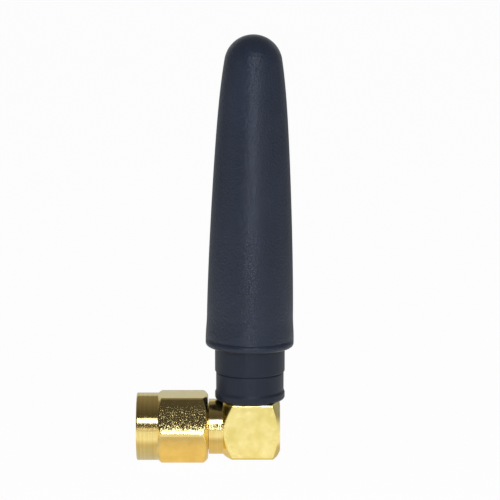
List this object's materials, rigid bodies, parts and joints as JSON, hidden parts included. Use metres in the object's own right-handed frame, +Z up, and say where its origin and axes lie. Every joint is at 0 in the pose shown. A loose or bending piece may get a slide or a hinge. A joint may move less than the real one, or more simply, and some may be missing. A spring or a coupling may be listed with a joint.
{
  "type": "wifi antenna",
  "caption": "Stubby right-angle screw-on antenna: tapered rubber sheath over a wound radiator, collar, gold-plated elbow and a free-turning hexagonal coupling nut.",
  "frame": {"origin": "centre of the plug's reference plane, which is the front rim of the outer contact", "axes": "-X out of the connector along its axis, so the coupling nut opens towards -X; +Z up the mast; the flat of the nut that faces up at rest is square to Z"},
  "size_m": [0.0187, 0.0104, 0.051],
  "materials": {
    "sheath_rubber": "matte black thermoplastic rubber, moulded",
    "collar_plastic": "matte black moulded plastic",
    "gold_plate": "turned and milled brass, gold plated, satin",
    "bare_brass": "turned brass, bare",
    "insulator_plastic": "white fluoropolymer, turned",
    "gasket_rubber": "red silicone rubber, moulded",
    "spring_wire": "drawn spring wire",
    "solder": "tin solder"
  },
  "bodies": {
    "antenna": {"sheath": "sheath_rubber", "base_collar": "collar_plastic", "helix_coil": "spring_wire", "coil_stud": "bare_brass", "coil_solder": "solder", "riser_contact": "gold_plate", "mast_insulator": "insulator_plastic", "mast_ferrule": "bare_brass", "elbow_body": "gold_plate", "rear_cap": "gold_plate", "rear_insulator": "insulator_plastic", "contact_solder": "solder", "centre_pin": "gold_plate", "front_insulator": "insulator_plastic", "front_shell": "gold_plate", "gasket": "gasket_rubber", "retaining_ring": "spring_wire"},
    "nut": {"coupling_nut": "gold_plate"}
  },
  "joints": [
    {"name": "nut_spin", "type": "hinge", "parent": "antenna", "child": "nut", "pos_m": [0, 0, 0], "axis": [1, 0, 0], "continuous": true}
  ]
}
